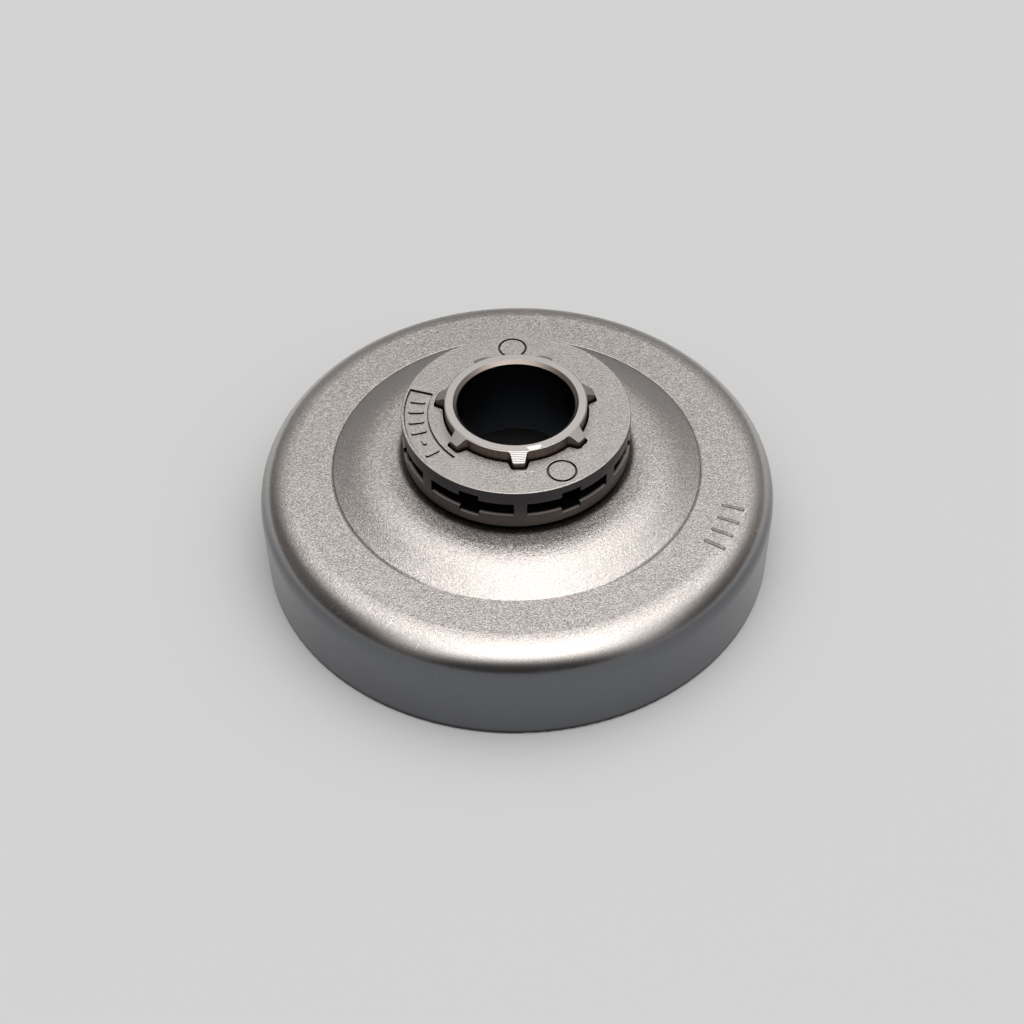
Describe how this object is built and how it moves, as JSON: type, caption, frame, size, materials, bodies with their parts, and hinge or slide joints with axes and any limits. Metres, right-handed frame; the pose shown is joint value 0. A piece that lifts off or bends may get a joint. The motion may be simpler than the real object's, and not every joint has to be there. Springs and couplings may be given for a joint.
{
  "type": "chainsaw clutch drum",
  "caption": "Shallow drawn steel clutch cup with a raised centre, a splined hub fixed through it, and a floating rim sprocket whose side pockets drive the chain.",
  "frame": {"origin": "middle of the cup's open edge, on the surface that it stands on", "axes": "+Z along the hub's bore, from the open edge towards the rim sprocket; -Y is the side that faces the camera"},
  "size_m": [0.0762, 0.0762, 0.0277],
  "materials": {
    "cup_steel": "blasted top, polished wall",
    "hub_steel": "turned and milled",
    "rim_steel": "satin, as sintered"
  },
  "bodies": {
    "drum": {"drum_cup": "cup_steel", "splined_hub": "hub_steel"},
    "rim": {"rim_sprocket": "rim_steel"}
  },
  "joints": [
    {"name": "rim_float", "type": "slide", "parent": "drum", "child": "rim", "axis": [0, 0, 1], "range_m": [0, 0.0019]}
  ]
}
